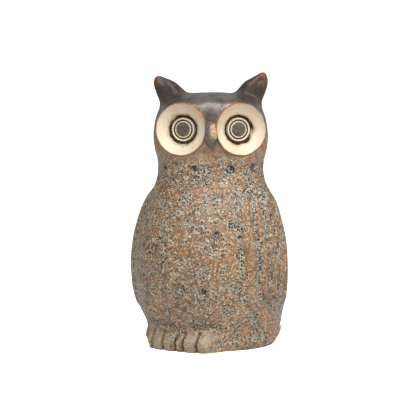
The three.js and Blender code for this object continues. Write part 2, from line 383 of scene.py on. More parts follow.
def raise_skin():
    nodes = ("body_shell", "head_shell", "ear_left", "ear_right")
    clay = [copy_of_node(node, node + "_clay") for node in nodes]
    clay.append(plug("base_plug", 40, HOLLOW_FLOOR, HOLLOW_FLOOR + 5))
    clay.append(plug("neck_plug", 35, NECK_SEAM - 4, NECK_SEAM + 4))
    clay += [eye_cup(side) for side in (-1, 1)]
    clay += [ear_root(side) for side in (-1, 1)]
    skin = remeshed(joined(*clay), CLAY_GRAIN)
    skin.name = "clay_skin"
    keep_outer_skin(skin)
    apply_modifier(skin, "SMOOTH", factor=0.5, iterations=5)
    return skin


def sponge(skin):
    """Wipes the ears, the crown and the eye cups into one another, as a wet sponge would, and
    the whole body smooth above its foot."""
    points = points_of(skin)
    smooth = neighbour_mean(skin, points, SPONGE_ROUNDS)
    share = rise(5, 14, points[:, 2])
    tips = rise(EAR_ROOT + 5, EAR_ROOT + 11, points[:, 2])
    share = (share * (1 - 0.85 * tips))[:, None]
    move_points(skin, points * (1 - share) + smooth * share)


def scoop_ears(skin):
    """Presses a thumb into the front of each ear, which leaves a ridge along its inner slope,
    then plumps the ears and shortens their tips."""
    points, normals = points_of(skin), normals_of(skin)
    local = seen_from(face_place(), points)
    facing = np.clip(-(normals @ np.array(face_place())[:3, 1]), 0, 1)
    for side in (-1, 1):
        across = local[:, 0] * side
        height = local[:, 2]
        middle = 28.6 + 0.36 * (height - 170)
        width = np.clip(7.6 - 0.33 * (height - 168), 1.6, 8)
        hollow = np.exp(-(((across - middle) / width) ** 2))
        hollow *= rise(163, 172, height) * (1 - rise(184, 189, height)) * (across > 8)
        points -= normals * (THUMB_DEPTH * hollow * facing)[:, None]
    plump = rise(168, 180, local[:, 2]) * rise(14, 27, np.abs(local[:, 0]))
    points += normals * (EAR_PLUMPING * plump)[:, None]
    points[:, 2] -= TIP_SHORTENING * rise(179, 189, local[:, 2])
    move_points(skin, points)


def tuck_in_above_feet(skin):
    """Draws the body in over the outside of each foot."""
    points = points_of(skin)
    angle, height, _ = round_the_body(points)
    inward = 2.9 * rise(3, 12, height) * (1 - rise(13, 28, height))
    inward *= rise(22, 52, np.abs(angle)) * (1 - rise(72, 104, np.abs(angle)))
    across = points[:, :2] - (AXIS_X, AXIS_Y)
    across /= np.linalg.norm(across, axis=1)[:, None].clip(1e-6)
    points[:, :2] -= across * inward[:, None]
    move_points(skin, points)


# Dots: angle round the body, height, radius and depth
STAMPED_DOTS = [
    (-27, DOTS_Z, 2.6, 1.35),
    (11, DOTS_Z - 0.6, 2.5, 1.2),
    (52, DOTS_Z - 1.4, 3.3, 1.65),
    (80, DOTS_Z + 0.2, 2.3, 1.2),
    (103, DOTS_Z + 0.4, 2.4, 1.2),
    (140, DOTS_Z, 2.7, 1.35),
    (176, DOTS_Z - 0.8, 2.4, 1.2),
    (-145, DOTS_Z + 0.3, 2.8, 1.35),
    (-106, DOTS_Z - 0.3, 2.4, 1.2),
    (-66, DOTS_Z + 0.2, 2.7, 1.35),
    (44, 117.5, 1.7, 0.75),
    (34, 82, 2.4, 1.2),
    (25, 43, 2, 1.35),
    (-14, 71, 1.5, 0.75),
    (-48, 92, 1.7, 0.75),
    (160, 77, 2, 0.9),
    (-152, 52, 2.1, 1.05),
]


def dot_depth(points):
    """Depth of the stamped dots, and how much glaze has run into them, which also places painted
    shade and painted glints in them.
    """
    angle, height, radius = round_the_body(points)
    depth = np.zeros(len(points))
    pooled = np.zeros(len(points))
    for dot_angle, dot_height, dot_radius, dot_hollow in STAMPED_DOTS:
        turn = (angle - dot_angle + 180) % 360 - 180
        away = np.hypot(np.radians(turn) * radius, height - dot_height) / dot_radius
        depth = np.maximum(depth, dot_hollow * (1 - rise(0.45, 1.1, away)))
        depth -= dot_hollow / 6 * np.exp(-(((away - 1.25) / 0.25) ** 2))
        pooled = np.maximum(pooled, 1 - rise(0.3, 1.3, away))
    return depth, pooled


def stamp_dots(skin):
    points = points_of(skin)
    depth, _ = dot_depth(points)
    move_points(skin, points - normals_of(skin) * depth[:, None])


def cut_eye_sockets(skin):
    for side in (-1, 1):
        wide = EYE_RADIUS + SOCKET_GAP
        profile = [(0, -10.1), (13.7, -10.1), (wide, -3), (wide, 4), (0, 4)]
        tool = spun("socket_tool", profile, 128, eye_place(side))
        apply_modifier(skin, "BOOLEAN", operation="DIFFERENCE", object=tool, solver="EXACT")
        bpy.data.objects.remove(tool)


# Pieces laid on the skin


def feather_line(share, height):
    """Angle round the body of a line from the shoulder down the wing, from its front edge
    at share 0 to its back edge at share 1. It sweeps backwards at the bottom."""
    gather = rise(SHOULDER_LOW, SHOULDER_TOP, height) ** 1.5
    sweep = (30 + 34 * rise(0, 0.2, share)) * (np.clip(SWEEP_BELOW - height, 0, None) / 34) ** 1.5
    front = WING_FRONT + sweep + gather * (SHOULDER_ANGLE - WING_FRONT)
    back = WING_BACK - gather * (WING_BACK - SHOULDER_ANGLE)
    bow = 90 * (np.clip(BOW_BELOW - height, 0, None) / 32) ** 2 * share * (1 - share)
    return np.minimum(front + (back - front) * share + bow, back + 4)


def wing_form(side, points):
    """For each point: how far it is inside the wing's outline, how high it stands, how much glaze
    pools there, and how much it is a crest."""
    angle, height, radius = round_the_body(points)
    angle = angle * side
    front = np.radians(angle - feather_line(0, height)) * radius
    back = np.radians(feather_line(1, height) - angle) * radius
    lean = np.radians(feather_line(0, height + 1) - feather_line(0, height - 1)) * radius / 2
    inside = np.minimum(np.minimum(front / np.hypot(1, lean), back), height - WING_BOTTOM)
    inside = np.where(angle > 0, inside, -FAR)
    nearest = np.full(len(points), FAR)
    for feather in range(1, FEATHERS):
        share = (feather + 0.25) / (FEATHERS + 0.2)
        line = feather_line(share, height)
        slope = feather_line(share, height + 1) - feather_line(share, height - 1)
        slant = np.hypot(1, np.radians(slope) * radius / 2)
        away = np.abs(np.radians(angle - line) * radius) / slant
        nearest = np.minimum(nearest, away)
    fade = rise(0, 7, inside + 1.5) * (1 - rise(104, 120, height))
    ridge = rise(0.4, 4.4, nearest)
    lift = rise(-0.6, 4.2, inside) * WING_RISE + fade * (FLUTE_DEPTH * ridge - 1.2)
    lift *= 0.3 + 0.7 * rise(2, 34, height)
    in_flutes = fade * (1 - rise(1.4, 3.4, nearest))
    at_outline = 1 - rise(0.5, 2.8, np.abs(inside))
    crest = fade * rise(3.2, 4.8, nearest)
    return inside, lift, GROOVE_GLAZE * np.maximum(in_flutes, at_outline), crest


def tail_form(_, points):
    """The same four things for the tail, which is alike on both sides."""
    angle, height, radius = round_the_body(points)
    along = np.radians(180 - np.abs(angle)) * radius
    half_width = TAIL_HALF_WIDTH * np.sqrt(np.clip(1 - (height.clip(0) / TAIL_TOP) ** 2.6, 0, 1))
    inside = np.minimum(half_width - along, TAIL_TOP - height)
    nearest = np.full(len(points), FAR)
    for offset in TAIL_FLUTES:
        line = offset * (1 - 0.5 * rise(4, 38, height))
        nearest = np.minimum(nearest, np.abs(along - line))
    fade = rise(0, 4, inside)
    lift = rise(-0.6, 5, inside) * (1.3 + 1.4 * (1 - rise(0, 34, height)))
    lift += fade * (rise(0, 2.4, nearest) - 1)
    in_flutes = fade * (1 - rise(0.5, 1.8, nearest))
    at_outline = 1 - rise(0, 2, np.abs(inside))
    crest = fade * rise(1.4, 2.3, nearest)
    return inside, lift, np.maximum(GROOVE_GLAZE * in_flutes, 0.8 * at_outline), crest


def foot_form(side, points):
    """The same for a pad under the belly, with two dark grooves in place of crests, which part
    its three toes. The grooves and the pricked holes at their tops are darkened as painted shade."""
    x, y = (points[:, 0] - AXIS_X) * side, points[:, 1] - AXIS_Y
    height = points[:, 2]
    inside = np.minimum(np.minimum(x - 0.25, FOOT_OUTSIDE - x), FOOT_TOP - height)
    inside = np.where(y < 0, inside, -FAR)
    fall = (1 - rise(5.8, 16.5, height)) * (0.8 + 0.2 * rise(0, 5, height))
    reach = np.clip(y + TOE_TIPS - 1.6 * (x / FOOT_OUTSIDE) ** 2, 0, None)
    edges = (0, *TOE_GROOVES[side], FOOT_OUTSIDE)
    round_toes = np.zeros(len(points))
    dark = np.zeros(len(points))
    for inner, outer in zip(edges, edges[1:]):
        middle, half = (inner + outer) / 2, (outer - inner) / 2
        across = np.clip(1 - (np.abs(x - middle) / half) ** 2.6, 0, 1) ** 0.5
        round_toes = np.maximum(round_toes, across)
    # Painted shade: marks the grooves and the pricked holes to be darkened.
    for groove in edges[:-1]:
        line = groove + 0.05 * (height - 8)
        fade = 1 - rise(9.5, 13.5, height)
        dark = np.maximum(dark, np.exp(-((np.abs(x - line) / 0.85) ** 2)) * fade)
        hole = np.hypot(x - line, height - TOE_HOLES) / 1.5
        dark = np.maximum(dark, (1 - rise(0.5, 1.1, hole)) * (groove > 0))
    taper = np.sqrt(1 - rise(17, FOOT_OUTSIDE, x))
    lift = reach * fall * (0.6 + 0.4 * round_toes) * taper - 1.1 * dark
    return inside, lift, np.zeros(len(points)), dark


def lay_on(name, form, side, skin, margin, wall, mask, forward=False):
    """A piece of clay that follows the skin, stands out from it, and dips under it at its edge."""
    piece = copy_of_piece(skin, name)
    points = points_of(piece)
    _, height, radius = round_the_body(points)
    underneath = (height < HOLLOW_FLOOR + 1.5) & (radius < RING_MIDDLE)
    drop_points(piece, (form(side, points)[0] < -margin) | underneath)
    if forward:
        edit(piece, lambda: bpy.ops.mesh.subdivide(number_cuts=1))
    points = points_of(piece)
    inside, lift, pooled, marked = form(side, points)
    dip = EDGE_DIP * (1 - rise(-margin, 1.2, inside))
    out = normals_of(piece) * (1, 1, 0)
    out /= np.linalg.norm(out, axis=1)[:, None].clip(1e-6)
    if forward:
        out = np.tile((0.0, -1.0, 0.0), (len(points), 1))
    moved = points + out * (lift - dip)[:, None]
    moved[:, 2] = np.where(points[:, 2] < ON_GROUND, 0, moved[:, 2])
    move_points(piece, moved)
    paint(piece, "pooled", pooled)
    paint(piece, mask, marked)
    if forward:
        paint(piece, "pale", rise(0.4, 7, inside) * (1 - rise(10, 18, points[:, 2])))
    apply_modifier(piece, "SOLIDIFY", thickness=wall * MM, offset=-1)
    points = points_of(piece)
    points[:, 2] = np.clip(points[:, 2], 0, None)
    move_points(piece, points)
    return piece


# Eyes, beak and floor


def eye_piece(name, side, profile, waves):
    """Spun in the eye's own axes, and painted with each point's distance from the eye's middle
    and its height in the bowl, which sets the painted shade towards the top of the bowl."""
    piece = spun(name, profile, 40)
    apply_modifier(piece, "SUBSURF", levels=2, render_levels=2)
    roughened(piece, 4.5, waves)
    points = points_of(piece)
    paint(piece, "from_middle", np.hypot(points[:, 0], points[:, 1]) / FAR_FROM_EYE)
    paint(piece, "above", rise(-5, 17, points[:, 1]))
    piece.data.transform(eye_place(side))
    return piece


DISH_PROFILE = [
    (0, -9.9), (9, -9.9), (13.4, -9.9), (17.9, -3.2), (18.1, -1.2), (18.05, -0.3), (17.85, 0.25),
    (17.5, 0.4), (17.15, 0.2), (16.7, -0.5), (15.6, -1.7), (13.8, -3.1), (11.9, -4.3), (10.9, -4.75),
    (10.35, -5.05), (10.1, -5.5), (9.95, -7), (9.5, -7.4), (8, -7.5), (0, -7.5),
]
IRIS_PROFILE = [
    (0, -7.1), (7.6, -7.1), (8.05, -6.8), (8.1, -5.5), (7.95, -5), (7.6, -4.8), (7.2, -4.9),
    (6.95, -5.2), (6.8, -6), (6.3, -6.2), (5.85, -6), (5.75, -5.3), (5.5, -4.95), (5.1, -4.9),
    (4.8, -5.1), (4.7, -6.1), (0, -6.15),
]
PUPIL_PROFILE = [(0, -5.9), (4.3, -5.9), (4.6, -5.7), (4.6, -5.1), (4.3, -4.8), (3, -4.65), (0, -4.6)]


def beak_piece():
    piece = copy_of_node("beak", "beak_nub")
    remeshed(piece, 0.33)
    apply_modifier(piece, "SMOOTH", factor=0.5, iterations=8)
    roughened(piece, 3.5, 0.35)
    local = seen_from(face_place(), points_of(piece))
    low, high = local[:, 2].min(), local[:, 2].max()
    share = (local[:, 2] - low) / (high - low)
    # The beak's right side is painted pale: partly glaze rubbed thin over its crest, partly a painted
    # highlight on the side the light falls on.
    worn = rise(-5, 4.5, local[:, 0]) * rise(0.2, 0.44, share) * (1 - 0.6 * rise(0.8, 1, share))
    paint(piece, "worn", worn)
    return piece


def floor_piece():
    node_low, node_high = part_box("floor_slab")
    piece = copy_of_node("floor_slab", "floor_slab_clay")
    edit(piece, bpy.ops.mesh.tris_convert_to_quads)
    remeshed(piece, 0.6)
    apply_modifier(piece, "SMOOTH", factor=0.5, iterations=6)
    roughened(piece, 9, 0.5)
    points = points_of(piece)
    points[:, 2] = np.clip(points[:, 2], node_low.z / MM, node_high.z / MM)
    move_points(piece, points)
    return piece


# Glaze: node trees


def srgb(red, green, blue):
    """A swatch's colour, given as 0 to 255, turned into amounts of light."""
    values = [channel / 255 for channel in (red, green, blue)]
    light = [v / 12.92 if v <= 0.04045 else ((v + 0.055) / 1.055) ** 2.4 for v in values]
    return (*light, 1)


DEEP_BROWN = srgb(54, 39, 29)
BROWN = srgb(100, 77, 56)
TAN = srgb(136, 109, 82)
SAND = srgb(166, 137, 106)
PINKISH = srgb(184, 148, 120)
CREAM = srgb(222, 202, 171)
IVORY = srgb(230, 219, 200)
RUST = srgb(132, 84, 50)
ORANGE = srgb(170, 120, 70)
BLUE_GREY = srgb(120, 126, 116)
SLATE = srgb(54, 55, 52)
PIT = srgb(38, 30, 25)
IRON = srgb(106, 99, 92)
IRON_DARK = srgb(48, 42, 38)
IRON_SHEEN = srgb(150, 144, 136)
EDGE_BROWN = srgb(140, 94, 58)
MOSS_GREY = srgb(140, 134, 118)
WASHED_SAND = srgb(186, 163, 134)
GLASSY = srgb(204, 205, 196)
GROOVE_BROWN = srgb(66, 46, 34)
IRON_PALE = srgb(124, 116, 108)
BRONZE = srgb(112, 92, 74)
BARE_EDGE = srgb(196, 158, 122)
EAR_BLACK = srgb(46, 40, 36)
EAR_BROWN = srgb(74, 58, 47)
BEAK_TAN = srgb(198, 156, 112)
BEAK_PALE = srgb(226, 198, 158)
BOWL_TAN = srgb(222, 202, 170)
BOWL_CREAM = srgb(232, 215, 186)
FLECK = srgb(196, 168, 130)
BOWL_SHADE = srgb(200, 174, 136)
RIM_ORANGE = srgb(178, 124, 78)
RIM_BROWN = srgb(98, 70, 50)
STAIN = srgb(150, 128, 96)
INK_BROWN = srgb(96, 72, 50)
RING_HALO = srgb(150, 124, 88)
PUPIL_DARK = srgb(58, 50, 44)
PUPIL_BROWN = srgb(88, 78, 69)
PUPIL_PALE = srgb(122, 111, 99)
PUPIL_EDGE = srgb(176, 150, 112)
CLAY_TAN = srgb(168, 138, 106)
CLAY_PALE = srgb(194, 166, 132)

GLAZE_MASKS = ("pooled", "calm", "worn", "crest", "dimple", "dark", "pale")


class Tree:
    """Adds nodes to a node tree. A socket is given a value, a colour or another node's output."""

    def __init__(self, tree):
        self.tree = tree

    def add(self, kind, sockets=None, **settings):
        node = self.tree.nodes.new(kind)
        for name, value in settings.items():
            setattr(node, name, value)
        self.fill(node, sockets or {})
        return node

    def fill(self, node, sockets):
        for name, value in sockets.items():
            if isinstance(value, bpy.types.NodeSocket):
                self.tree.links.new(value, node.inputs[name])
            else:
                node.inputs[name].default_value = value

    def math(self, operation, first, second):
        return self.add("ShaderNodeMath", {0: first, 1: second}, operation=operation).outputs[0]

    def plus(self, first, second):
        return self.math("ADD", first, second)

    def minus(self, first, second):
        return self.math("SUBTRACT", first, second)

    def times(self, first, second):
        return self.math("MULTIPLY", first, second)

    def between(self, low, high, value):
        """0 below low, 1 above high, and smooth between them. low may be above high."""
        sockets = {"Value": value, "From Min": low, "From Max": high}
        node = self.add("ShaderNodeMapRange", sockets, interpolation_type="SMOOTHSTEP")
        return node.outputs["Result"]

    def mix(self, share, first, second):
        """The first colour where share is 0, the second where it is 1. The node's colour sockets
        are numbers 6 and 7."""
        node = self.add("ShaderNodeMix", data_type="RGBA")
        self.fill(node, {0: share, 6: first, 7: second})
        return node.outputs[2]

    def noise(self, vector, size, detail=2, roughness=0.5, offset=0, output="Fac"):
        """Clouds of a size in millimetres. The offset keeps two of them from lining up."""
        if offset:
            vector = self.vector("ADD", vector, (offset, -offset, offset * 0.5))
        sockets = {"Vector": vector, "Scale": 1 / size, "Detail": detail, "Roughness": roughness}
        return self.add("ShaderNodeTexNoise", sockets).outputs[output]

    def vector(self, operation, first, second):
        node = self.add("ShaderNodeVectorMath", {0: first, 1: second}, operation=operation)
        return node.outputs[0]

    def ramp(self, value, *stops):
        node = self.add("ShaderNodeValToRGB", {"Fac": value})
        elements = node.color_ramp.elements
        for position, colour in stops[1:-1]:
            elements.new(position).color = colour
        elements[0].position, elements[0].color = stops[0]
        elements[len(elements) - 1].position, elements[len(elements) - 1].color = stops[-1]
        return node.outputs["Color"]

    def attribute(self, name):
        return self.add("ShaderNodeAttribute", attribute_name=name).outputs["Fac"]


def group(name, inputs, outputs):
    tree = bpy.data.node_groups.new(name, "ShaderNodeTree")
    kinds = {"colour": "NodeSocketColor", "value": "NodeSocketFloat", "vector": "NodeSocketVector"}
    for label, kind, default in inputs:
        socket = tree.interface.new_socket(label, in_out="INPUT", socket_type=kinds[kind])
        if default is not None:
            socket.default_value = default
    for label, kind in outputs:
        tree.interface.new_socket(label, in_out="OUTPUT", socket_type=kinds[kind])
    return tree, tree.nodes.new("NodeGroupInput").outputs, tree.nodes.new("NodeGroupOutput").inputs


def use(tree, group_tree, **sockets):
    """Places a group in a tree and fills its named inputs."""
    node = tree.add("ShaderNodeGroup", node_tree=group_tree)
    tree.fill(node, {name.capitalize(): value for name, value in sockets.items()})
    return node.outputs


def build_spots():
    """Round spots in a share of the cells of a scatter, each with a ring round it."""
    inputs = [
        ("Vector", "vector", None),
        ("Spacing", "value", 2.0),
        ("Share", "value", 0.3),
        ("Width", "value", 0.3),
    ]
    group_tree, given, out = group("glaze_spots", inputs, [("Spot", "value"), ("Ring", "value")])
    t = Tree(group_tree)
    scale = t.math("DIVIDE", 1.0, given["Spacing"])
    cells = t.add("ShaderNodeTexVoronoi", {"Vector": given["Vector"], "Scale": scale})
    parts = t.add("ShaderNodeSeparateColor", {"Color": cells.outputs["Color"]}).outputs
    chosen = t.math("LESS_THAN", parts["Red"], given["Share"])
    size = t.times(given["Width"], t.plus(0.55, parts["Green"]))
    away = t.math("DIVIDE", cells.outputs["Distance"], size)
    spot = t.between(1.05, 0.6, away)
    ring = t.times(t.between(0.75, 1.1, away), t.between(1.8, 1.25, away))
    group_tree.links.new(t.times(spot, chosen), out["Spot"])
    group_tree.links.new(t.times(ring, chosen), out["Ring"])
    return group_tree


def build_crawled(spots):
    """Blue-grey glaze that has crawled into small cells: dark pits with pale rims."""
    inputs = [("Vector", "vector", None), ("Spacing", "value", 1.5)]
    outputs = [("Colour", "colour"), ("Height", "value")]
    group_tree, given, out = group("crawled_glaze", inputs, outputs)
    t = Tree(group_tree)
    scale = t.math("DIVIDE", 1.0, given["Spacing"])
    cell_inputs = {"Vector": given["Vector"], "Scale": scale}
    cells = t.add("ShaderNodeTexVoronoi", cell_inputs, feature="DISTANCE_TO_EDGE")
    pits = use(t, spots, vector=given["Vector"], spacing=given["Spacing"], share=0.85, width=0.52)
    rim = t.between(0.13, 0.05, cells.outputs["Distance"])
    shade = t.noise(given["Vector"], 2.6, detail=2)
    colour = t.ramp(shade, (0.36, SLATE), (0.52, BLUE_GREY), (0.66, MOSS_GREY))
    colour = t.mix(t.times(rim, 0.7), colour, CREAM)
    colour = t.mix(t.times(pits["Ring"], 0.35), colour, IVORY)
    colour = t.mix(pits["Spot"], colour, PIT)
    height = t.minus(t.times(rim, 0.4), pits["Spot"])
    group_tree.links.new(colour, out["Colour"])
    group_tree.links.new(height, out["Height"])
    return group_tree


def build_reactive(spots, crawled):
    """The body's glaze: tan mottled with brown, pink and rust, with specks, pinholes and patches
    that have crawled. Where it is pooled it turns blue-grey, where it is calm it has no pits, and
    on a crest it breaks to orange."""
    inputs = [("Vector", "vector", None)]
    inputs += [(name.capitalize(), "value", 0.0) for name in GLAZE_MASKS]
    outputs = [("Colour", "colour"), ("Roughness", "value"), ("Height", "value")]
    group_tree, given, out = group("reactive_glaze", inputs, outputs)
    t = Tree(group_tree)
    point = given["Vector"]
    drift = t.noise(point, 3.2, detail=3, output="Color")
    drift = t.vector("SUBTRACT", drift, (0.5, 0.5, 0.5))
    drift = t.add("ShaderNodeVectorMath", {0: drift, "Scale": 1.6}, operation="SCALE").outputs[0]
    bent = t.vector("ADD", point, drift)
    busy = t.minus(1.0, given["Calm"])

    mottle = t.noise(point, 3.2, detail=5, roughness=0.66)
    colour = t.ramp(mottle, (0.32, BROWN), (0.45, TAN), (0.57, SAND), (0.7, PINKISH))
    cloud = t.noise(point, 16, detail=3, roughness=0.55, offset=31)
    colour = t.mix(t.between(0.48, 0.66, cloud), colour, t.mix(0.5, colour, BROWN))
    rusty = t.between(0.5, 0.62, t.noise(point, 8, detail=4, roughness=0.6, offset=57))
    rusty = t.math("MAXIMUM", t.times(rusty, 0.6), t.times(given["Crest"], 0.55))
    rust = t.ramp(t.noise(point, 2.2, detail=3), (0.35, RUST), (0.52, ORANGE), (0.68, SAND))
    colour = t.mix(rusty, colour, rust)

    grain = t.add("ShaderNodeTexVoronoi", {"Vector": bent, "Scale": 1 / 1.05})
    tone = t.add("ShaderNodeSeparateColor", {"Color": grain.outputs["Color"]}).outputs
    soft = t.between(0.75, 0.35, grain.outputs["Distance"])
    soft = t.times(soft, t.minus(1.0, t.times(rusty, 0.6)))
    dark_grain = t.times(t.math("LESS_THAN", tone["Red"], 0.31), soft)
    pale_grain = t.times(t.math("GREATER_THAN", tone["Red"], 0.77), soft)
    colour = t.mix(t.times(t.times(dark_grain, 0.85), busy), colour, DEEP_BROWN)
    colour = t.mix(t.times(t.times(pale_grain, 0.9), busy), colour, CREAM)

    patch = t.noise(point, 8, detail=4, roughness=0.62, offset=12)
    patch = t.plus(patch, t.times(given["Pooled"], 0.17))
    patch = t.minus(patch, t.times(given["Crest"], 0.05))
    halo = t.times(t.between(0.49, 0.57, patch), busy)
    colour = t.mix(t.times(halo, 0.3), colour, BLUE_GREY)
    patch = t.times(t.between(0.555, 0.585, patch), busy)
    blue = use(t, crawled, vector=bent, spacing=1.35)
    colour = t.mix(t.times(patch, 0.95), colour, blue["Colour"])

    holes = use(t, spots, vector=bent, spacing=2.4, share=0.25, width=0.24)
    craters = use(t, spots, vector=bent, spacing=8.0, share=0.22, width=0.11)
    hole = t.times(t.math("MAXIMUM", holes["Spot"], craters["Spot"]), busy)
    ring = t.times(t.math("MAXIMUM", holes["Ring"], craters["Ring"]), busy)
    colour = t.mix(t.times(ring, 0.4), colour, CREAM)
    colour = t.mix(t.times(hole, 0.9), colour, PIT)
    colour = t.mix(t.times(given["Worn"], 0.45), colour, ORANGE)
    colour = t.mix(t.times(given["Pale"], 0.5), colour, WASHED_SAND)
    # Stamped dots: a dark ring as painted shade round each hollow's wall, and inside it pooled glaze
    # with pits and pale painted glints.
    ragged = t.plus(given["Dimple"], t.times(t.minus(mottle, 0.5), 1.7))
    gloss = t.noise(point, 2, detail=3, roughness=0.6, offset=3)
    basin = t.ramp(gloss, (0.38, PIT), (0.47, SLATE), (0.55, BLUE_GREY), (0.63, GLASSY))
    colour = t.mix(t.between(0.3, 0.45, ragged), colour, PIT)
    colour = t.mix(t.between(0.5, 0.7, ragged), colour, basin)
    # Painted shade in the toe grooves and their holes.
    colour = t.mix(t.times(given["Dark"], 0.6), colour, GROOVE_BROWN)

    height = t.times(mottle, 0.8)
    height = t.plus(height, t.times(pale_grain, 0.25))
    height = t.minus(height, t.times(dark_grain, 0.3))
    height = t.plus(height, t.times(t.times(patch, blue["Height"]), 0.9))
    height = t.minus(height, hole)
    height = t.plus(height, t.times(ring, 0.35))
    fine = t.noise(point, 0.5, detail=2)
    roughness = t.plus(0.3, t.times(fine, 0.4))
    roughness = t.minus(roughness, t.times(patch, 0.16))
    roughness = t.minus(roughness, t.times(given["Dimple"], 0.3))
    group_tree.links.new(colour, out["Colour"])
    group_tree.links.new(roughness, out["Roughness"])
    group_tree.links.new(height, out["Height"])
    return group_tree


def build_iron(spots):
    """The hood's glaze: dark iron with a bronze sheen, which breaks brown over edges."""
    inputs = [("Vector", "vector", None), ("Worn", "value", 0.0), ("Frosted", "value", 0.0)]
    outputs = [("Colour", "colour"), ("Roughness", "value"), ("Height", "value")]
    group_tree, given, out = group("iron_glaze", inputs, outputs)
    t = Tree(group_tree)
    point = given["Vector"]
    cloud = t.noise(point, 7, detail=4, roughness=0.6)
    fine = t.noise(point, 0.8, detail=3, roughness=0.6)
    colour = t.ramp(cloud, (0.3, IRON_DARK), (0.5, IRON), (0.72, IRON_PALE))
    colour = t.mix(t.between(0.45, 0.7, fine), colour, t.mix(0.35, colour, BRONZE))
    # Pale specks lightened towards IRON_SHEEN: partly crystals in the glaze, partly painted sheen.
    dust = use(t, spots, vector=point, spacing=0.9, share=0.75, width=0.4)
    frost = t.times(dust["Spot"], given["Frosted"])
    colour = t.mix(t.times(frost, 0.8), colour, IRON_SHEEN)
    dark = use(t, spots, vector=point, spacing=1.6, share=0.3, width=0.24)
    colour = t.mix(t.times(dark["Spot"], 0.55), colour, PIT)
    wear = t.times(given["Worn"], t.between(0.25, 0.55, t.noise(point, 1.8, detail=3)))
    colour = t.mix(wear, colour, t.mix(cloud, EDGE_BROWN, BARE_EDGE))
    roughness = t.plus(0.26, t.times(fine, 0.26))
    height = t.plus(t.times(fine, 0.45), t.times(frost, 0.4))
    height = t.minus(height, t.times(dark["Spot"], 0.5))
    group_tree.links.new(colour, out["Colour"])
    group_tree.links.new(roughness, out["Roughness"])
    group_tree.links.new(height, out["Height"])
    return group_tree


# Materials


def new_material(name):
    """A material, its tree, its shader, and places on the piece in millimetres."""
    material = bpy.data.materials.new(name)
    material.use_nodes = True
    tree = Tree(material.node_tree)
    shader = material.node_tree.nodes["Principled BSDF"]
    where = tree.add("ShaderNodeTexCoord").outputs["Object"]
    millimetres = tree.add("ShaderNodeMapping", {"Vector": where, "Scale": (1 / MM, 1 / MM, 1 / MM)})
    return material, tree, shader, millimetres.outputs["Vector"]


def finish_shader(tree, shader, colour, roughness, height, depth):
    bump = tree.add("ShaderNodeBump", {"Height": height, "Distance": depth * MM, "Strength": 1.0})
    tree.tree.links.new(colour, shader.inputs["Base Color"])
    tree.tree.links.new(roughness, shader.inputs["Roughness"])
    tree.tree.links.new(bump.outputs["Normal"], shader.inputs["Normal"])


def glass_over(shader, weight, roughness):
    """The clear layer that comes to the top of a glaze in the kiln."""
    shader.inputs["Coat Weight"].default_value = weight
    shader.inputs["Coat Roughness"].default_value = roughness


def body_material(reactive):
    material, t, shader, point = new_material("speckled_reactive_glaze")
    masks = {name: t.attribute(name) for name in GLAZE_MASKS}
    glaze = use(t, reactive, vector=point, **masks)
    glass_over(shader, 0.12, 0.2)
    finish_shader(t, shader, glaze["Colour"], glaze["Roughness"], glaze["Height"], 0.35)
    return material


def head_material(reactive, iron):
    """Iron on the hood and reactive glaze below it, which meet in a soft ragged line."""
    material, t, shader, point = new_material("iron_hood_over_tan")
    masks = {name: t.attribute(name) for name in GLAZE_MASKS}
    tan = use(t, reactive, vector=point, **masks)
    dark = use(t, iron, vector=point, worn=masks["worn"], frosted=t.attribute("frosted"))
    shaded = t.attribute("shaded")
    rusted = t.noise(point, 2.4, detail=4, roughness=0.65, offset=5)
    ear_colour = t.ramp(rusted, (0.42, EAR_BLACK), (0.64, EAR_BROWN))
    iron_colour = t.mix(t.times(shaded, 0.85), dark["Colour"], ear_colour)
    iron_colour = t.mix(t.times(masks["worn"], 0.45), iron_colour, EDGE_BROWN)
    ragged = t.times(t.minus(t.noise(point, 5, detail=5, roughness=0.6), 0.5), 1.5)
    hood = t.between(0.38, 0.62, t.plus(t.attribute("hood"), ragged))
    colour = t.mix(hood, tan["Colour"], iron_colour)
    rough_iron = t.plus(dark["Roughness"], t.times(shaded, 0.3))
    roughness = t.mix(hood, tan["Roughness"], rough_iron)
    height = t.mix(hood, tan["Height"], dark["Height"])
    t.tree.links.new(t.times(hood, 0.35), shader.inputs["Metallic"])
    glass_over(shader, 0.2, 0.22)
    finish_shader(t, shader, colour, roughness, height, 0.3)
    return material


def beak_material(iron):
    material, t, shader, point = new_material("iron_glaze_on_beak")
    dark = use(t, iron, vector=point, worn=0.0, frosted=0.25)
    cloud = t.noise(point, 2.4, detail=3)
    pale = t.ramp(cloud, (0.3, EDGE_BROWN), (0.5, BEAK_TAN), (0.72, BEAK_PALE))
    drift = t.times(t.minus(cloud, 0.5), 0.5)
    # Pale on the beak's right side: partly thin glaze, partly painted highlight.
    worn = t.plus(t.attribute("worn"), drift)
    colour = t.mix(t.between(0.2, 0.95, worn), dark["Colour"], pale)
    glass_over(shader, 0.3, 0.18)
    finish_shader(t, shader, colour, dark["Roughness"], dark["Height"], 0.2)
    return material


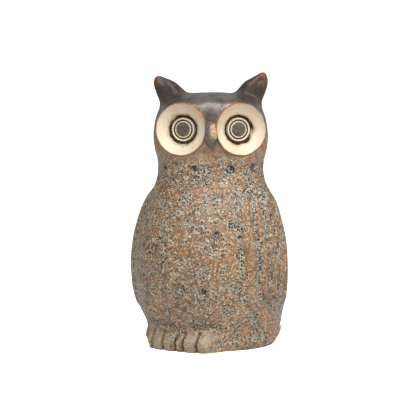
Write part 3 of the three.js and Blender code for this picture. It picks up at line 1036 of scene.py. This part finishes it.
def eye_material():
    """Cream in the bowls, with painted shade towards their tops, iron where it breaks over the rim
    and where it pools in the rings, with painted shadow in the moat round the iris.
    """
    material, t, shader, point = new_material("cream_glaze")
    away = t.times(t.attribute("from_middle"), FAR_FROM_EYE)
    wobble = t.times(t.minus(t.noise(point, 5, detail=3), 0.5), 4.0)
    ragged = t.plus(away, wobble)
    cloud = t.noise(point, 9, detail=3)
    colour = t.ramp(cloud, (0.32, BOWL_TAN), (0.5, BOWL_CREAM), (0.7, IVORY))
    fleck = t.between(0.62, 0.74, t.noise(point, 1.1, detail=3, roughness=0.6, offset=9))
    colour = t.mix(t.times(fleck, 0.3), colour, FLECK)
    # Painted shade: each bowl is darkened towards its top, where its wall faces down, away from the
    # light.
    colour = t.mix(t.times(t.attribute("above"), 0.4), colour, BOWL_SHADE)
    rim = t.between(16.9, 17.6, t.plus(away, t.times(wobble, 0.2)))
    rim_colour = t.ramp(cloud, (0.35, RUST), (0.55, RIM_ORANGE), (0.7, RIM_BROWN))
    colour = t.mix(t.times(rim, 0.85), colour, rim_colour)
    stain = t.times(t.between(12.6, 10.4, ragged), t.between(9.9, 10.4, away))
    colour = t.mix(t.times(stain, 0.55), colour, STAIN)
    # The moat round the iris and the groove in the iris are painted dark: iron pooled in them, and in
    # the moat also painted shadow from its wall.
    moat = t.times(t.between(10.45, 9.95, ragged), t.between(7.95, 8.2, away))
    groove = t.times(t.between(6.95, 6.7, away), t.between(5.65, 5.95, away))
    ink = t.ramp(t.noise(point, 2, detail=3), (0.3, PIT), (0.7, INK_BROWN))
    colour = t.mix(t.math("MAXIMUM", moat, groove), colour, ink)
    inner = t.between(5.3, 4.9, away)
    colour = t.mix(t.times(inner, 0.6), colour, RING_HALO)
    fine = t.noise(point, 0.6, detail=2)
    roughness = t.plus(0.38, t.times(fine, 0.25))
    glass_over(shader, 0.15, 0.25)
    height = t.plus(t.times(cloud, 0.6), t.times(fine, 0.3))
    finish_shader(t, shader, colour, roughness, height, 0.12)
    return material


def pupil_material():
    material, t, shader, point = new_material("dark_pupil_glaze")
    away = t.times(t.attribute("from_middle"), FAR_FROM_EYE)
    smudge = t.noise(point, 1.6, detail=4, roughness=0.65)
    colour = t.ramp(smudge, (0.32, PUPIL_DARK), (0.5, PUPIL_BROWN), (0.68, PUPIL_PALE))
    edge = t.plus(away, t.times(t.minus(smudge, 0.5), 2.2))
    colour = t.mix(t.between(4.3, 5, edge), colour, PUPIL_EDGE)
    roughness = t.plus(0.3, t.times(smudge, 0.3))
    finish_shader(t, shader, colour, roughness, smudge, 0.15)
    return material


def clay_material(spots):
    material, t, shader, point = new_material("bare_stoneware")
    cloud = t.noise(point, 12, detail=4)
    grit = use(t, spots, vector=point, spacing=1.3, share=0.35, width=0.2)
    colour = t.ramp(cloud, (0.3, CLAY_TAN), (0.6, CLAY_PALE))
    colour = t.mix(t.times(grit["Spot"], 0.6), colour, DEEP_BROWN)
    fine = t.noise(point, 0.45, detail=3)
    roughness = t.plus(0.78, t.times(fine, 0.15))
    height = t.minus(fine, t.times(grit["Spot"], 0.6))
    finish_shader(t, shader, colour, roughness, height, 0.15)
    return material


# Masks that the glazes read


def paint_body(piece):
    points = points_of(piece)
    paint(piece, "dimple", dot_depth(points)[1])
    pooled = np.zeros(len(points))
    for side in (-1, 1):
        inside = wing_form(side, points)[0]
        pooled = np.maximum(pooled, GROOVE_GLAZE * (1 - rise(0.5, 3, np.abs(inside))))
    paint(piece, "pooled", pooled)
    paint(piece, "calm", 1 - rise(0.5, 3, points[:, 2]))


def paint_head(piece):
    points = points_of(piece)
    local = seen_from(face_place(), points)
    x, y, height = local.T
    paint(piece, "dimple", dot_depth(points)[1])
    bridge = np.exp(-((x / 7) ** 2)) * (y < 0)
    hood_line = 156 + 3 * np.cos(np.arctan2(x, -y) * 3) - 20 * bridge
    paint(piece, "hood", rise(-6, 6, height - hood_line))
    on_ears = rise(164, 174, height) * rise(15, 23, np.abs(x))
    paint(piece, "shaded", np.maximum(on_ears, 0.32 * bridge * (1 - rise(160, 170, height))))
    # Pale specks on the brow: partly crystals in the glaze, partly painted sheen where the light
    # catches it.
    paint(piece, "frosted", 0.28 * np.exp(-((x / 13) ** 2)) * (y < 0) * rise(154, 166, height))
    paint(piece, "calm", rise(NECK_SEAM + 9, NECK_SEAM + 19, height))


def paint_worn(skin):
    paint(skin, "worn", rise(0.16, 0.6, sharpness(skin, rounds=8)))


# Making the owl


def dress(piece, material, slot, *nodes):
    piece.data.materials.clear()
    piece.data.materials.append(material)
    select_only(piece)
    bpy.ops.object.shade_smooth_by_angle(angle=math.radians(48))
    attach(piece, "root")
    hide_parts(*nodes)


def make_owl():
    spots = build_spots()
    crawled = build_crawled(spots)
    reactive = build_reactive(spots, crawled)
    iron = build_iron(spots)
    body_glaze = body_material(reactive)
    head_glaze = head_material(reactive, iron)
    cream = eye_material()
    pupil_glaze = pupil_material()
    beak_glaze = beak_material(iron)
    clay = clay_material(spots)

    skin = raise_skin()
    sponge(skin)
    scoop_ears(skin)
    tuck_in_above_feet(skin)
    roughened(skin, 17, 0.55)
    roughened(skin, 6, 0.22)
    for name, side in (("right", -1), ("left", 1)):
        wing = lay_on(f"fluted_wing_{name}", wing_form, side, skin, 1.6, 3, "crest")
        dress(wing, body_glaze, "reactive_glaze", f"wing_{name}")
        foot = lay_on(f"toes_{name}", foot_form, side, skin, 0.9, 5, "dark", forward=True)
        dress(foot, body_glaze, "reactive_glaze", f"foot_{name}")
    tail = lay_on("tail_apron", tail_form, 1, skin, 1.2, 3, "crest")
    dress(tail, body_glaze, "reactive_glaze", "tail")
    stamp_dots(skin)
    cut_eye_sockets(skin)
    paint_worn(skin)
    paint_head(skin)

    level = (0, 0, 1)
    seam = (AXIS_X, AXIS_Y, NECK_SEAM)
    body = parted(copy_of_piece(skin, "glazed_body"), seam, level, keep_above=False)
    paint_body(body)
    dress(body, body_glaze, "reactive_glaze", "body_shell")
    head = parted(copy_of_piece(skin, "glazed_head"), seam, level, keep_above=True)
    for name, side in (("right", -1), ("left", 1)):
        root = face_place() @ (Vector((side * 18, 0, EAR_ROOT)) * MM) / MM
        lean = face_place().to_3x3() @ Vector((side * 0.55, 0, 1)).normalized()
        ear = parted(copy_of_piece(skin, f"pinched_ear_{name}"), root, lean, keep_above=True)
        dress(ear, head_glaze, "iron_glaze", f"ear_{name}")
        parted(head, root, lean, keep_above=False)
    dress(head, head_glaze, "iron_glaze", "head_shell")
    bpy.data.objects.remove(skin)

    for name, side in (("right", -1), ("left", 1)):
        dish = eye_piece(f"cream_dish_{name}", side, DISH_PROFILE, 0.4)
        dress(dish, cream, "cream_glaze", f"eye_dish_{name}")
        ring = eye_piece(f"ringed_iris_{name}", side, IRIS_PROFILE, 0.22)
        dress(ring, cream, "cream_glaze", f"iris_{name}")
        pupil = eye_piece(f"dark_pupil_{name}", side, PUPIL_PROFILE, 0.3)
        dress(pupil, pupil_glaze, "pupil_glaze", f"pupil_{name}")
    dress(beak_piece(), beak_glaze, "iron_glaze", "beak")
    dress(floor_piece(), clay, "bare_clay", "floor_slab")


# Camera, light and floor


def aim(thing, target):
    direction = Vector(target) - thing.location
    thing.rotation_euler = direction.to_track_quat("-Z", "Y").to_euler()


def seen_at(azimuth, elevation, distance, target):
    """A place at a distance from the target, round from -Y towards +X and up, in degrees."""
    turn, lift = math.radians(azimuth), math.radians(elevation)
    away = Vector((math.sin(turn) * math.cos(lift), -math.cos(turn) * math.cos(lift), math.sin(lift)))
    return Vector(target) + away * distance


def set_camera(low, high):
    height = high.z - low.z
    turn = math.radians(CAMERA_AZIMUTH)
    across = Vector((math.cos(turn), math.sin(turn), 0))
    middle = Vector(((low.x + high.x) / 2, (low.y + high.y) / 2, height / 2))
    target = middle - (across + Vector((0, 0, 0.8))) * MM
    camera = bpy.data.cameras.new("camera")
    camera.lens = 173.6
    camera.sensor_width = 36
    camera.clip_end = 20
    holder = bpy.data.objects.new("camera", camera)
    bpy.context.scene.collection.objects.link(holder)
    holder.location = seen_at(CAMERA_AZIMUTH, CAMERA_ELEVATION, 1.4, target)
    aim(holder, target)
    bpy.context.scene.camera = holder


def add_softbox(name, azimuth, elevation, distance, size, power, target):
    light = bpy.data.lights.new(name, "AREA")
    light.shape = "DISK"
    light.size = size
    light.energy = power
    holder = bpy.data.objects.new(name, light)
    bpy.context.scene.collection.objects.link(holder)
    holder.location = seen_at(azimuth, elevation, distance, target)
    aim(holder, target)


def lay_floor():
    """Pale paper, which shows plain white to the camera."""
    bpy.ops.mesh.primitive_plane_add(size=8)
    floor = bpy.context.object
    floor.name = "floor"
    material = bpy.data.materials.new("pale_paper")
    material.use_nodes = True
    shader = material.node_tree.nodes["Principled BSDF"]
    shader.inputs["Base Color"].default_value = (0.9, 0.9, 0.9, 1)
    shader.inputs["Roughness"].default_value = 0.9
    shader.inputs["Emission Color"].default_value = (1, 1, 1, 1)
    camera_sees = Tree(material.node_tree).add("ShaderNodeLightPath").outputs["Is Camera Ray"]
    material.node_tree.links.new(camera_sees, shader.inputs["Emission Strength"])
    floor.data.materials.append(material)


def light_studio():
    world = bpy.data.worlds.new("studio")
    world.use_nodes = True
    bpy.context.scene.world = world
    t = Tree(world.node_tree)
    paper = world.node_tree.nodes["Background"]
    paper.inputs["Color"].default_value = (1, 1, 1, 1)
    camera_sees = t.add("ShaderNodeLightPath").outputs["Is Camera Ray"]
    strength = t.plus(0.3, t.times(camera_sees, 0.75))
    world.node_tree.links.new(strength, paper.inputs["Strength"])

    target = (0, 0, 0.1)
    overhead = dict(azimuth=35, elevation=58, distance=0.9, size=0.7, power=7.2)
    key = dict(azimuth=88, elevation=32, distance=1.1, size=0.35, power=3.1)
    add_softbox("overhead", target=target, **overhead)
    add_softbox("key", target=target, **key)
    bpy.context.scene.view_settings.view_transform = "Standard"


low_corner, high_corner = (Vector(corner) for corner in cad_box)
set_camera(low_corner, high_corner)
lay_floor()
light_studio()
make_owl()
